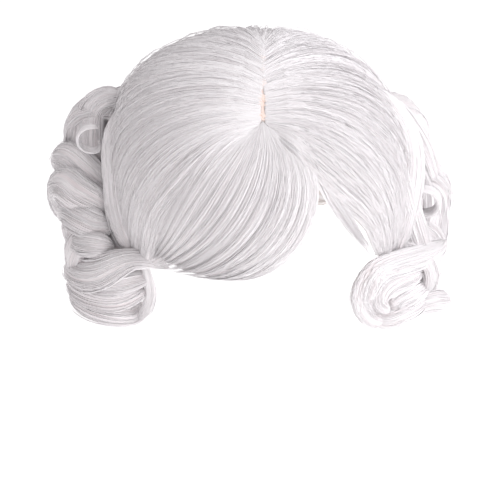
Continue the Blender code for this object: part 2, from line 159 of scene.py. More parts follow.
work = bmesh.new()
bmesh.ops.create_uvsphere(work, u_segments=CAP_COLUMNS, v_segments=CAP_RINGS, radius=1)
bmesh.ops.bisect_plane(
    work,
    geom=work.verts[:] + work.edges[:] + work.faces[:],
    plane_co=(0, 0, 0),
    plane_no=(0, 0, 1),
    clear_inner=True,
)
balls = np.array([vertex.co for vertex in work.verts])
around = np.degrees(np.arctan2(balls[:, 0], -balls[:, 1]))
share = np.degrees(np.arccos(np.clip(balls[:, 2], -1, 1))) / 90
for vertex, point in zip(work.verts, cap_point(around, share, CAP_WALL)):
    vertex.co = point
bmesh.ops.recalc_face_normals(work, faces=work.faces[:])
for face in work.faces:
    face.smooth = True
dome = bpy.data.meshes.new("cap_dome")
work.to_mesh(dome)
work.free()
cap = new_piece("cap_dome", dome, cap_net)
wall = cap.modifiers.new("wall", "SOLIDIFY")
wall.thickness = CAP_WALL
wall.offset = -1
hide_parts("wig_cap")

elastic, tree, shader = new_material("elastic_band", STITCH_COLOUR, roughness=0.8)
where = add_node(tree, "TexCoord")
ribs = add_node(tree, "TexNoise", Scale=RIB_FINENESS)
relief = add_node(tree, "Bump", Strength=0.5, Distance=0.0004)
shades = add_node(tree, "Mix", A=NET_COLOUR, B=STITCH_COLOUR)
connect(
    tree,
    (where, "Object", ribs, "Vector"),
    (ribs, "Fac", shades, "Factor"),
    (shades, "Result", shader, "Base Color"),
    (ribs, "Fac", relief, "Height"),
    (relief, "Normal", shader, "Normal"),
)
outline = bpy.data.curves.new("cap_band", "CURVE")
outline.dimensions = "3D"
outline.bevel_depth = BAND_RADIUS
outline.bevel_resolution = 3
round_edge = outline.splines.new("POLY")
turns = np.linspace(-180, 180, BAND_STEPS + 1)[:-1]
rim = cap_point(turns, np.full(BAND_STEPS, BAND_LEVEL), CAP_WALL / 2)
round_edge.points.add(len(rim) - 1)
for spot, point in zip(round_edge.points, rim):
    spot.co = (*point, 1)
round_edge.use_cyclic_u = True
band = new_piece("cap_band", outline, elastic)


# The scalp strip: a narrow skin-toned band let into the cap under the parting.
# Hair is knotted into it strand by strand, and the knots show as small warm dots.
SKIN_COLOUR = (0.90, 0.74, 0.67, 1.0)
KNOT_COLOUR = (0.74, 0.52, 0.42, 1.0)
KNOT_FINENESS = 900.0

scalp_skin, tree, shader = new_material("scalp_skin", SKIN_COLOUR, roughness=0.6)
where = add_node(tree, "TexCoord")
knots = add_node(tree, "TexVoronoi", Scale=KNOT_FINENESS)
dots = add_node(tree, "MapRange", From_Min=0.15, From_Max=0.40)
blend = add_node(tree, "Mix", A=KNOT_COLOUR, B=SKIN_COLOUR)
relief = add_node(tree, "Bump", Strength=0.5, Distance=0.0003)
relief.invert = True
connect(
    tree,
    (where, "Object", knots, "Vector"),
    (knots, "Distance", dots, "Value"),
    (dots, "Result", blend, "Factor"),
    (blend, "Result", shader, "Base Color"),
    (dots, "Result", relief, "Height"),
    (relief, "Normal", shader, "Normal"),
)
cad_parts["scalp_strip"].material_slots[0].material = scalp_skin


# The crown hair: white synthetic fibre, combed from the middle parting down over each temple and ear.
# Each side is a close mass of fibres in locks, with single fibres lying over it, knotted in at the parting.
HAIR_WHITE = (0.93, 0.92, 0.935, 1.0)
HAIR_SHADE = (0.84, 0.785, 0.80, 1.0)
# painted shade: the darker, warmer colour the mass is given down in the creases between its locks
HAIR_CREASE_SHADE = (0.72, 0.635, 0.64, 1.0)
HAIR_ROOT = (0.84, 0.74, 0.68, 1.0)
TONE_MIDDLE = 0.70
TONE_WAVE = 0.09
TONE_CHANCE = 0.07
# how strong the painted shade in the creases is
CREASE_SHADE_STRENGTH = 0.7
HAIR_BASE = 0.0019
ROOT_THICKNESS = 0.0016
ROOT_LOW = 0.35
HAIR_THICKNESS = 0.0072
EDGE_THINNING = 0.70
END_FULLNESS = 0.0060
LEFT_BULGE = 0.0130
RIGHT_BULGE = 0.0035
CROWN_SHARE = 0.60
CROWN_LOCKS = 15
CROWN_TONES = 30
CROWN_COLUMNS = 120
MASS_ROWS = 40
ROOT_REACH = 60.0
CROWN_END_REACH = 60.0
CROWN_FIBRES = 1400
CROWN_RINGS = 18
CROWN_LENGTHS = (0.82, 1.03)
CROWN_SEED = 10
KNOT_RING = 0.012
FIBRE_HALF_WIDTH = 0.00019
FIBRE_WIDTHS = (0.6, 1.3)
STRAY_SHARE = 0.06
STRAY_LEAST = 0.5
STRAY_MOST = 3.2
MASS_ROOT = 0.55
MASS_BELOW = 0.0005
MASS_LEAST = 0.0004
PARTING_CLOSED = 1.5
PARTING_CLOSES = (0.28, 0.58)
FRONT_SPREAD = 2.2
FRONT_ROOTS = 0.08
FRONT_EDGE = 0.12
ROOT_FILL = 0.07
ROOT_FILL_ENDS = (0.3, 0.65)
LOCK_HEIGHT = 0.0013
WISP_HEIGHT = 0.0004
WISPS_A_LOCK = 3.7
LOCK_ROUNDING = 0.7

# the bulge over each ear: its middle and spread in degrees round the head, then down from the crown
BULGE_AROUND = 100
BULGE_WIDTH = 42
BULGE_DROP = 56
BULGE_HEIGHT = 26

# share of the side, root on the parting, heading, hold, end round the head, end level, turn of the end
LEFT_SWEEP = [
    (0.00, -35.5, -8, 1.20, 49.7, -6, 74),
    (0.14, -33, -2, 1.42, 66, -19, 26),
    (0.32, -27, 8, 1.50, 82, -29, 8),
    (0.50, -16, 32, 1.33, 98, -30, 0),
    (0.68, -4, 45, 1.33, 122, -28, 0),
    (0.84, 4, 62, 1.33, 150, -32, 0),
    (1.00, 8, 90, 1.33, 180, -36, 0),
]
RIGHT_SWEEP = [
    (0.00, -35.5, -26, 1.50, 59.5, -10, 70),
    (0.16, -31, 2, 1.42, 72, -30, 16),
    (0.32, -24, 10, 1.33, 87, -30, 0),
    (0.50, -16, 28, 1.33, 102, -30, 0),
    (0.68, -4, 45, 1.33, 124, -28, 0),
    (0.84, 4, 62, 1.33, 150, -32, 0),
    (1.00, 8, 90, 1.33, 180, -36, 0),
]


def smooth_step(low, high, x):
    t = np.clip((x - low) / (high - low), 0, 1)
    return t * t * (3 - 2 * t)


def curve_through(rows, x):
    """The columns of a table at x, on a smooth curve through its rows; the first column rises."""
    table = np.array(rows, dtype=float)
    last = len(table) - 1
    i = np.clip(np.searchsorted(table[:, 0], x, side="right") - 1, 0, last - 1)
    t = ((x - table[i, 0]) / (table[i + 1, 0] - table[i, 0]))[..., None]
    here, ahead = table[i], table[i + 1]
    rise = (ahead - table[np.maximum(i - 1, 0)]) / 2
    fall = (table[np.minimum(i + 2, last)] - here) / 2
    rise = np.where((i == 0)[..., None], rise * 2, rise)
    fall = np.where((i + 1 == last)[..., None], fall * 2, fall)
    return np.moveaxis(hermite(here, rise, ahead, fall, t), -1, 0)[1:]


def hermite(start, start_pull, end, end_pull, t):
    return (
        start * (2 * t**3 - 3 * t**2 + 1)
        + start_pull * (t**3 - 2 * t**2 + t)
        + end * (3 * t**2 - 2 * t**3)
        + end_pull * (t**3 - t**2)
    )


def head_outward(p, q, lift):
    step = head_point(p, q, lift + 0.001) - head_point(p, q, lift)
    return step / np.linalg.norm(step, axis=-1, keepdims=True)


def crown_place(side, share, along, offset):
    """p and q on the crown hair of one side (-1 left, 1 right), its roots offset from the parting."""
    sweep = LEFT_SWEEP if side < 0 else RIGHT_SWEEP
    front = 1 - smooth_step(0, FRONT_EDGE, share)
    share = share - ROOT_FILL * (1 - smooth_step(*ROOT_FILL_ENDS, along)) * front
    root, heading, hold, around, level, turn = curve_through(sweep, share)
    offset = offset + FRONT_SPREAD * (1 - smooth_step(0, FRONT_ROOTS, share))
    heading = np.radians(heading)
    around = np.radians(side * around)
    reach = 90 - level
    end_p, end_q = reach * np.sin(around), -reach * np.cos(around)
    turn = np.arctan2(end_q, end_p) + np.radians(side * turn)
    pull = hold * ROOT_REACH
    p = hermite(side * offset, side * np.cos(heading) * pull, end_p, np.cos(turn) * CROWN_END_REACH, along)
    q = hermite(root, np.sin(heading) * pull, end_q, np.sin(turn) * CROWN_END_REACH, along)
    return p, q


def lock_relief(share, along, locks, phase):
    """Rounded locks with creases between them, and finer wisps on top, from 0 to 1."""
    wander = 0.34 * np.sin(2.6 * along + phase) + 0.16 * np.sin(9 * share + 4.2 * along)
    wisps = locks * WISPS_A_LOCK * share + 2.3 * wander + phase
    big = np.abs(np.cos(np.pi * (locks * share + wander))) ** LOCK_ROUNDING
    return big, np.abs(np.cos(np.pi * wisps)) ** LOCK_ROUNDING


def lock_height(big, small):
    """How far the locks and wisps stand above or below the hair's even face."""
    return LOCK_HEIGHT * (big - 0.5) + WISP_HEIGHT * (small - 0.5)


def painted_crease_shade(big, along):
    """Painted shade: how dark the mass is painted down in the creases between its locks."""
    return (1 - big) ** 3 * CREASE_SHADE_STRENGTH * smooth_step(0.03, 0.2, along)


def root_rise(along):
    """Hair lies low where it is knotted in and comes up over the first stretch."""
    return ROOT_LOW + (1 - ROOT_LOW) * smooth_step(0, 0.10, along)


def crown_lift(side, p, q, share, along):
    """How far the crown hair's outer face stands off the head form."""
    around = np.degrees(np.arctan2(p, -q))
    bulge = LEFT_BULGE if side < 0 else RIGHT_BULGE
    beside = np.exp(-(((around - side * BULGE_AROUND) / BULGE_WIDTH) ** 2))
    full = beside * np.exp(-(((np.hypot(p, q) - BULGE_DROP) / BULGE_HEIGHT) ** 2))
    rise = (HAIR_THICKNESS - ROOT_THICKNESS) * smooth_step(0, 0.35, along)
    rise = rise + END_FULLNESS * smooth_step(0.6, 0.9, along) * smooth_step(0.2, 0.4, share)
    rise = rise * (1 - 0.5 * smooth_step(0.88, 1, along))
    thinner = EDGE_THINNING * (1 - smooth_step(0, FRONT_EDGE, share)) * smooth_step(0.1, 0.5, along)
    rise = rise * (1 - thinner)
    locks = lock_height(*lock_relief(share, along, CROWN_LOCKS, side)) * smooth_step(0.03, 0.3, along)
    return HAIR_BASE + ROOT_THICKNESS * root_rise(along) + rise + bulge * full + locks


def mark_fibres(mesh, spots, crease_shade):
    """Gives a mass the UV that its streaks follow, the painted shade of its creases, and smooth faces."""
    uv = mesh.uv_layers.new(name="fibre")
    corner_vertex = np.zeros(len(mesh.loops), dtype=int)
    mesh.loops.foreach_get("vertex_index", corner_vertex)
    uv.uv.foreach_set("vector", spots[corner_vertex].astype(np.float32).ravel())
    creases = mesh.attributes.new("crease_shade", "FLOAT", "POINT")
    creases.data.foreach_set("value", crease_shade.astype(np.float32))
    mesh.polygons.foreach_set("use_smooth", [True] * len(mesh.polygons))


def hair_body(name, surface, columns):
    """A mass of fibres: a fine sheet on the mass's outer face, given its depth inwards.

    surface(a, b) gives points, how thick the mass is there, and how much painted shade darkens it in its
    creases.
    """
    work = bmesh.new()
    bmesh.ops.create_grid(work, x_segments=columns, y_segments=MASS_ROWS, size=0.5)
    spots = np.array([vertex.co[:2] for vertex in work.verts]) + 0.5
    points, thickness, crease_shade = surface(spots[:, 0], spots[:, 1])
    middle = Vector((0, 0, -CAP_HEIGHT))
    for vertex, point in zip(work.verts, points):
        vertex.co = point
    work.normal_update()
    facing = sum(face.normal.dot(face.calc_center_median() - middle) for face in work.faces)
    if facing < 0:
        bmesh.ops.reverse_faces(work, faces=work.faces[:])
    sheet = bpy.data.meshes.new(name)
    work.to_mesh(sheet)
    work.free()
    mark_fibres(sheet, spots, crease_shade)
    body = new_piece(name, sheet, mass_hair)
    group = body.vertex_groups.new(name="thickness")
    most = float(thickness.max())
    for index, value in enumerate(thickness):
        group.add([index], float(value) / most, "REPLACE")
    wall = body.modifiers.new("mass", "SOLIDIFY")
    wall.thickness = most
    wall.offset = -1
    wall.vertex_group = group.name
    return body


def hair_fibres(name, paths, outward, half_width, tone, material):
    """Single fibres: one spindle, repeated, each copy drawn out along its own path.

    paths and outward are fibres x rings x 3; half_width is fibres x rings; tone has one value a fibre.
    """
    count, rings = half_width.shape
    work = bmesh.new()
    bmesh.ops.create_uvsphere(work, u_segments=3, v_segments=rings - 1, radius=1)
    spindle = bpy.data.meshes.new("spindle")
    work.to_mesh(spindle)
    work.free()
    one = bpy.data.objects.new("spindle", spindle)
    bpy.context.scene.collection.objects.link(one)
    repeat = one.modifiers.new("repeat", "ARRAY")
    repeat.use_relative_offset = False
    repeat.use_constant_offset = True
    repeat.constant_offset_displace = (0, 0, 0)
    repeat.count = count
    graph = bpy.context.evaluated_depsgraph_get()
    mesh = bpy.data.meshes.new_from_object(one.evaluated_get(graph))
    mesh.name = name
    start = np.array([vertex.co for vertex in spindle.vertices])
    bpy.data.objects.remove(one)
    ring = np.rint(np.arccos(np.clip(start[:, 2], -1, 1)) / np.pi * (rings - 1)).astype(int)
    turn = np.arctan2(start[:, 1], start[:, 0])[None, :, None]
    along = np.gradient(paths, axis=1)
    sideways = np.cross(outward, along)
    sideways /= np.maximum(np.linalg.norm(sideways, axis=-1, keepdims=True), 1e-12)
    spread = np.cos(turn) * outward[:, ring] + np.sin(turn) * sideways[:, ring]
    ends = (ring > 0) & (ring < rings - 1)
    points = paths[:, ring] + spread * (half_width[:, ring] * ends[None])[..., None]
    mesh.vertices.foreach_set("co", points.astype(np.float32).ravel())
    tones = mesh.attributes.new("tone", "FLOAT", "POINT")
    tones.data.foreach_set("value", np.repeat(tone, len(start)).astype(np.float32))
    lengths = mesh.attributes.new("along", "FLOAT", "POINT")
    lengths.data.foreach_set("value", np.tile(ring / (rings - 1), count).astype(np.float32))
    mesh.polygons.foreach_set("use_smooth", [True] * len(mesh.polygons))
    mesh.update()
    return new_piece(name, mesh, material)


def streak_group():
    """Streaks along the fibres: reads the fibre UV, gives a tone and a height."""
    group = bpy.data.node_groups.new("fibre_streaks", "ShaderNodeTree")
    for name, way in (("Across", "INPUT"), ("Along", "INPUT"), ("Tone", "OUTPUT"), ("Height", "OUTPUT")):
        group.interface.new_socket(name, in_out=way, socket_type="NodeSocketFloat")
    given = group.nodes.new("NodeGroupInput")
    result = group.nodes.new("NodeGroupOutput")
    uv = add_node(group, "UVMap")
    uv.uv_map = "fibre"
    parts = add_node(group, "SeparateXYZ")
    across = add_node(group, "Math")
    across.operation = "MULTIPLY"
    along = add_node(group, "Math")
    along.operation = "MULTIPLY"
    joined = add_node(group, "CombineXYZ")
    fine = add_node(group, "TexNoise", Scale=1.0, Detail=4.0, Roughness=0.65)
    stretch = add_node(group, "MapRange", From_Min=0.32, From_Max=0.68)
    connect(
        group,
        (uv, "UV", parts, "Vector"),
        (parts, "X", across, 0),
        (given, "Across", across, 1),
        (parts, "Y", along, 0),
        (given, "Along", along, 1),
        (across, "Value", joined, "X"),
        (along, "Value", joined, "Y"),
        (joined, "Vector", fine, "Vector"),
        (fine, "Fac", stretch, "Value"),
        (stretch, "Result", result, "Tone"),
        (fine, "Fac", result, "Height"),
    )
    return group


STREAKS = streak_group()


def mass_material(name, across, along):
    """A mass: so many streaks across the piece and changes along it, with painted shade, darker and warmer,
    in the creases.
    """
    material, tree, shader = new_material(name, HAIR_WHITE, roughness=0.42)
    shader.inputs["Sheen Weight"].default_value = 0.25
    streaks = add_node(tree, "Group")
    streaks.node_tree = STREAKS
    streaks.inputs["Across"].default_value = across
    streaks.inputs["Along"].default_value = along
    crease_shade = add_node(tree, "Attribute")
    crease_shade.attribute_name = "crease_shade"
    whites = add_node(tree, "Mix", A=HAIR_SHADE, B=HAIR_WHITE)
    crease_shaded = add_node(tree, "Mix", B=HAIR_CREASE_SHADE)
    bump = add_node(tree, "Bump", Strength=0.5, Distance=0.0006)
    connect(
        tree,
        (streaks, "Tone", whites, "Factor"),
        (whites, "Result", crease_shaded, "A"),
        (crease_shade, "Fac", crease_shaded, "Factor"),
        (crease_shaded, "Result", shader, "Base Color"),
        (streaks, "Height", bump, "Height"),
        (bump, "Normal", shader, "Normal"),
    )
    return material


def fibre_material(name, root_end):
    """Fibres, each its own shade of white; root_end is the share of the length that is warm at the root."""
    material, tree, shader = new_material(name, HAIR_WHITE, roughness=0.36)
    shader.inputs["Sheen Weight"].default_value = 0.2
    tone = add_node(tree, "Attribute")
    tone.attribute_name = "tone"
    along = add_node(tree, "Attribute")
    along.attribute_name = "along"
    whites = add_node(tree, "Mix", A=HAIR_SHADE, B=HAIR_WHITE)
    root = add_node(tree, "MapRange", From_Min=0.0, From_Max=root_end)
    rooted = add_node(tree, "Mix", A=HAIR_ROOT)
    connect(
        tree,
        (tone, "Fac", whites, "Factor"),
        (along, "Fac", root, "Value"),
        (root, "Result", rooted, "Factor"),
        (whites, "Result", rooted, "B"),
        (rooted, "Result", shader, "Base Color"),
    )
    return material


mass_hair = mass_material("mass_hair", across=150.0, along=3.0)
knotted_fibre = fibre_material("knotted_fibre", root_end=0.035)
loose_fibre = fibre_material("loose_fibre", root_end=0.001)


def rounded(x, width):
    """A rounded edge: 0 at x = 0, rising to 1 over the width."""
    return np.sqrt(np.clip(1 - (1 - np.clip(x / width, 0, 1)) ** 2, 0, 1))


def lock_tone(place, locks, phase, chance):
    """A tone for each fibre: alike within a lock, a little different from fibre to fibre."""
    waves = np.sin(2 * np.pi * locks * place + phase) + np.sin(2 * np.pi * 2.7 * locks * place + 2 * phase)
    return np.clip(TONE_MIDDLE + TONE_WAVE * waves + chance.normal(0, TONE_CHANCE, place.shape), 0, 1)


def crown_surface(side, first, last):
    """The outer face of a stretch of the crown hair, for hair_body."""

    def surface(a, b):
        share = first + (last - first) * a
        b = b**1.7
        closed = PARTING_CLOSED * smooth_step(*PARTING_CLOSES, share)
        p, q = crown_place(side, share, b, MASS_ROOT - closed / 2)
        lift = crown_lift(side, p, q, share, b)
        depth = np.maximum(lift - MASS_BELOW - HAIR_BASE, 0) * rounded(1 - b, 0.10)
        if first == 0:
            depth = depth * (1 - (1 - rounded(a, 0.05)) * smooth_step(0.08, 0.4, b))
        big, small = lock_relief(share, b, CROWN_LOCKS, side)
        return head_point(p, q, HAIR_BASE + depth), MASS_LEAST + depth, painted_crease_shade(big, b)

    return surface


def crown_fibres(name, side, first, last, count, seed):
    """Fibres combed down one stretch of the crown hair."""
    chance = np.random.default_rng(seed)
    one_each = (count, 1)
    t = np.linspace(0, 1, CROWN_RINGS)[None]
    t[0, 1] = KNOT_RING
    share = first + (last - first) * chance.random(one_each)
    along = t * chance.uniform(*CROWN_LENGTHS, one_each)
    wander = np.sin(2 * np.pi * (t * chance.uniform(0.3, 0.9, one_each) + chance.random(one_each)))
    share = np.clip(share + 0.010 * wander * smooth_step(0, 0.3, t), -0.01, 1)
    closed = PARTING_CLOSED * smooth_step(*PARTING_CLOSES, share[:, :1]) * chance.uniform(0.4, 1.0, one_each)
    p, q = crown_place(side, share, along, chance.uniform(0.10, MASS_ROOT, one_each) - closed)
    lift = crown_lift(side, p, q, share, along)
    edge = 0.35 + 0.65 * rounded(share + 0.01, 0.05) if first == 0 else 1
    lift = HAIR_BASE + (lift - HAIR_BASE) * edge
    strays = chance.random(one_each) < STRAY_SHARE
    stray = np.where(strays, chance.uniform(STRAY_LEAST, STRAY_MOST, one_each), 0)
    lift = lift + 0.001 * (chance.uniform(-0.35, 0.35, one_each) + stray * np.sin(np.pi * t) ** 2)
    taper = 1 - 0.75 * smooth_step(0.7, 1, t)
    half_width = FIBRE_HALF_WIDTH * chance.uniform(*FIBRE_WIDTHS, one_each) * taper
    tone = lock_tone(share[:, 0], CROWN_TONES, side, chance)
    paths = head_point(p, q, lift)
    return hair_fibres(name, paths, head_outward(p, q, lift), half_width, tone, knotted_fibre)


for side, name in ((-1, "left"), (1, "right")):
    body = hair_body(f"crown_{name}_mass", crown_surface(side, 0, CROWN_SHARE), CROWN_COLUMNS)
    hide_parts(f"crown_hair_{name}")
    fibres = crown_fibres(f"crown_{name}_fibres", side, 0, CROWN_SHARE, CROWN_FIBRES, CROWN_SEED + side)


# The back hair: the same fibre, combed straight down from the crown over the back of the cap.
# Its two halves meet behind the parting, so it is one mass in two stretches.
BACK_START = CROWN_SHARE - 0.01
BACK_COLUMNS = 80
BACK_FIBRES = 460
BACK_SEED = 20

for side, name in ((-1, "left"), (1, "right")):
    body = hair_body(f"back_{name}_mass", crown_surface(side, BACK_START, 1), BACK_COLUMNS)
    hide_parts("back_hair")
    fibres = crown_fibres(f"back_{name}_fibres", side, BACK_START, 1, BACK_FIBRES, BACK_SEED + side)


# The fringe: locks combed forwards from the front of the parting, swept round and down to the left temple.
# It is knotted in like the rest, stands a little off the forehead and ends in fine uneven points.
FRINGE_THICKNESS = 0.0065
FRINGE_STANDOFF = 0.0032
FRINGE_ROOT = -32.6
FRINGE_ROOT_FALL = 1.2
FRINGE_ROOT_RIGHT = 2.4
FRINGE_ROOT_SPREAD = 4.8
FRINGE_END_REACH = 50.0
FRINGE_LOCKS = 10
FRINGE_PHASE = 1.3
FRINGE_TONES = 13
FRINGE_CLUMPING = 0.4
FRINGE_COLUMNS = 90
FRINGE_FIBRES = 1250
FRINGE_RINGS = 17
FRINGE_SEED = 5

# share of the fringe, heading, hold, end round the head, end level, heading at the end, pull there
FRINGE_SWEEP = [
    (0.0, -25, 2.30, -18.6, -1.2, -196, 2.42),
    (0.2, -41, 2.15, -27.0, -2.8, -199, 2.30),
    (0.4, -68, 1.82, -36.5, -4.6, -200, 2.19),
    (0.6, -98, 1.60, -43.9, -6.0, -199, 2.10),
    (0.8, -130, 1.67, -48.4, -6.8, -200, 2.12),
    (1.0, -155, 1.74, -51.5, -6.8, -199, 2.24),
]


def fringe_place(share, along):
    """p and q on the fringe."""
    heading, hold, around, level, end_heading, end_hold = curve_through(FRINGE_SWEEP, share)
    heading, end_heading, around = np.radians(heading), np.radians(end_heading), np.radians(around)
    reach = 90 - level
    root_p = FRINGE_ROOT_RIGHT - FRINGE_ROOT_SPREAD * share
    root_q = FRINGE_ROOT - FRINGE_ROOT_FALL * np.abs(root_p)
    end_p, end_q = reach * np.sin(around), -reach * np.cos(around)
    pull, end_pull = hold * ROOT_REACH, end_hold * FRINGE_END_REACH
    p = hermite(root_p, np.cos(heading) * pull, end_p, np.cos(end_heading) * end_pull, along)
    q = hermite(root_q, np.sin(heading) * pull, end_q, np.sin(end_heading) * end_pull, along)
    return p, q


def fringe_lift(share, along):
    """How far the fringe's inner and outer faces stand off the head form, and its locks' roundness."""
    base = HAIR_BASE + (FRINGE_STANDOFF - HAIR_BASE) * smooth_step(0.1, 0.6, along)
    rise = (FRINGE_THICKNESS - ROOT_THICKNESS) * smooth_step(0, 0.3, along)
    thinning = 1 - 0.6 * smooth_step(0.5, 1, along)
    big, small = lock_relief(share, along, FRINGE_LOCKS, FRINGE_PHASE)
    locks = lock_height(big, small) * smooth_step(0.05, 0.4, along)
    return base, base + (ROOT_THICKNESS * root_rise(along) + rise) * thinning + locks, big


def fringe_surface(a, b):
    """The outer face of the fringe, for hair_body; its end is uneven from lock to lock."""
    tips = 0.93 + 0.02 * np.abs(np.cos(np.pi * FRINGE_LOCKS * a)) + 0.01 * np.sin(23 * a)
    share = 0.03 + 1.05 * a
    along = b * tips
    p, q = fringe_place(share, along)
    base, lift, big = fringe_lift(share, along)
    edge = 1 - (1 - rounded(np.minimum(a, 1 - a), 0.16)) * smooth_step(0.08, 0.4, b)
    depth = np.maximum(lift - MASS_BELOW - base, 0) * rounded(1 - b, 0.2) * edge
    return head_point(p, q, base + depth), MASS_LEAST + depth, painted_crease_shade(big, b)


body = hair_body("fringe_mass", fringe_surface, FRINGE_COLUMNS)
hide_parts("fringe")

chance = np.random.default_rng(FRINGE_SEED)
one_each = (FRINGE_FIBRES, 1)
t = np.linspace(0, 1, FRINGE_RINGS)[None]
t[0, 1] = KNOT_RING
share = chance.uniform(-0.10, 1.16, one_each)
lock = np.abs(np.cos(np.pi * FRINGE_LOCKS * share))
wander = np.sin(2 * np.pi * (t * 0.6 + chance.random(one_each)))
along = t * (0.97 + 0.02 * lock + chance.uniform(-0.12, 0.06, one_each))
middle = np.rint(share * FRINGE_LOCKS) / FRINGE_LOCKS
clumped = (middle - share) * FRINGE_CLUMPING * smooth_step(0.45, 1, t)
share = share + clumped + 0.012 * wander * smooth_step(0, 0.3, t)
p, q = fringe_place(share, along)
base, lift, _ = fringe_lift(share, along)
from_edge = np.minimum(share + 0.11, 1.18 - share)
edge = 1 - 0.75 * (1 - rounded(from_edge, 0.26)) * smooth_step(0.08, 0.4, t)
lift = base + (lift - base) * edge * (1 - 0.4 * smooth_step(0.8, 1, t))
lift = lift + chance.uniform(-0.4, 0.6, one_each) * 0.001
taper = 1 - 0.8 * smooth_step(0.6, 1, t)
half_width = FIBRE_HALF_WIDTH * chance.uniform(*FIBRE_WIDTHS, one_each) * taper
tone = lock_tone(share[:, 0], FRINGE_TONES, FRINGE_PHASE, chance)
paths = head_point(p, q, lift)
fibres = hair_fibres("fringe_fibres", paths, head_outward(p, q, lift), half_width, tone, knotted_fibre)


# The temple lock: a thin wisp that leaves the front of the parting and crosses the right temple.
# Its fibres lie side by side at first, then part into three wisps that each close up to a point.
TEMPLE_WIDTH = 0.011
TEMPLE_RISE = 0.0048
TEMPLE_FIBRES = 200
TEMPLE_WISPS = [-0.75, 0.05, 0.7]
TEMPLE_SEED = 7

# share of the lock, p and q on the head
TEMPLE_LOCK = [
    (0.00, 3, -35),
    (0.17, 11, -39),
    (0.33, 19, -43.5),
    (0.50, 27, -50),
    (0.67, 37, -56.5),
    (0.84, 54, -61),
    (1.00, 73, -60),
]

chance = np.random.default_rng(TEMPLE_SEED)
one_each = (TEMPLE_FIBRES, 1)
t = np.linspace(0, 1, FRINGE_RINGS)[None]
along = t * chance.uniform(0.80, 1.0, one_each)
p, q = curve_through(TEMPLE_LOCK, along)
ahead_p, ahead_q = curve_through(TEMPLE_LOCK, np.clip(along + 0.02, 0, 1))
back_p, back_q = curve_through(TEMPLE_LOCK, np.clip(along - 0.02, 0, 1))
across_p, across_q = ahead_q - back_q, back_p - ahead_p
size = np.maximum(np.hypot(across_p, across_q), 0.001)
full = smooth_step(-0.3, 0.4, t) * (1 - 0.6 * smooth_step(0.7, 1, t))
parted = smooth_step(0.25, 0.75, t)
wisp = chance.choice(TEMPLE_WISPS, one_each) * parted
spread = (wisp + chance.normal(0, 1, one_each) * (0.45 - 0.25 * parted)) * full
spread = spread * TEMPLE_WIDTH / 2 * np.degrees(1 / CAP_HALF_DEPTH)
p, q = p + across_p / size * spread, q + across_q / size * spread
rise = TEMPLE_RISE * smooth_step(0, 0.3, t) * (1 - 0.4 * t)
lift = HAIR_BASE + rise + chance.uniform(0, 0.002, one_each) * t
taper = 1 - 0.8 * smooth_step(0.6, 1, t)
half_width = FIBRE_HALF_WIDTH * chance.uniform(0.8, 1.4, one_each) * taper
tone = chance.uniform(0.45, 1.0, TEMPLE_FIBRES)
paths = head_point(p, q, lift)
outward = head_outward(p, q, lift)
lock = hair_fibres("temple_lock_fibres", paths, outward, half_width, tone, knotted_fibre)
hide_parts("temple_lock")


# The curls at the sides: flat locks of fibre set round a barrel, each springing from under the crown hair.
# A curl is a core of close fibres with single fibres wound over it and into its middle.
CURL_REACH = 0.030
CURL_RADIUS = 0.016
CURL_WIDTH = 0.027
CURL_THICKNESS = 0.012
CURL_FIBRE_HALF_WIDTH = 0.00026
CURL_SEED = 100
LEAD_RISE = 26.0
LED_SHARE = 0.20
JOIN_ANGLE = 85
TELESCOPE = 0.25
INNER_SHRINK = 0.62
INNER_SHARE = 0.45
CORE_WOUND = 0.9
CORE_FULLNESS = 0.85
FIBRE_FULLNESS = 0.86
GROOVE_DEPTH = 0.08
# painted shade: how dark the cores are painted down in their grooves
GROOVE_SHADE = 0.6
LOOSE_SHARE = 0.16
LOOSE_MOST = 0.40
CURL_TONES = 7

# how a lock is made: the core's points around and along, fibres, rings in a fibre, grooves round the
# core, and how far round from its outer face the fibres lie (radians)
Make = namedtuple("Make", "around along fibres rings grooves spread")
CURL_MAKE = Make(24, 44, 80, 20, 4, math.pi)

# degrees round the head from the face, then shares: reach outside the cap, height below the crown, the
# roll's radius at its start and end; the degrees it starts at and turns through; then width and thickness,
# its lean in degrees, and how many times its outer turn it winds on inside
Curl = namedtuple("Curl", "name around reach height radius end_radius start turn width thickness lean inner")
SIDE_CURLS = [
    Curl("curl_left_upper", -106, 0.80, 0.79, 1.42, 0.95, 140, -250, 1.20, 1.10, 0, 0.9),
    Curl("curl_left_ringlet", -88, 0.80, 0.583, 0.54, 0.50, 125, -245, 0.24, 0.18, 0, 0.25),
    Curl("curl_left_ear", -86, 0.70, 1.24, 1.40, 0.90, 140, -250, 1.05, 1.10, 0, 0.7),
    Curl("curl_left_middle", -101, 0.85, 1.07, 1.45, 1.08, 140, -225, 1.20, 1.25, 0, 0.7),
    Curl("curl_left_inner", -92, 0.60, 1.42, 1.20, 0.60, 150, -300, 1.20, 0.95, 0, 0.5),
    Curl("curl_left_cheek", -78, 0.70, 1.36, 1.25, 1.00, 180, 220, 1.20, 1.20, 0, 0.8),
    Curl("curl_right_upper", 104, 0.20, 0.90, 1.30, 0.90, 130, -230, 1.15, 0.95, 0, 0.8),
    Curl("curl_right_ringlet", 83, 0.68, 1.00, 0.60, 0.50, 150, -330, 0.32, 0.26, 0, 0.3),
    Curl("curl_right_middle", 98, 0.52, 1.16, 1.38, 1.02, 135, -235, 1.20, 1.15, 0, 0.8),
    Curl("curl_right_ear", 90, 0.50, 1.44, 1.30, 0.82, 150, -255, 1.05, 1.00, 0, 0.7),
    Curl("curl_right_under", 77, 0.40, 1.46, 1.36, 0.75, 145, -280, 1.20, 1.05, 0, 0.5),
]


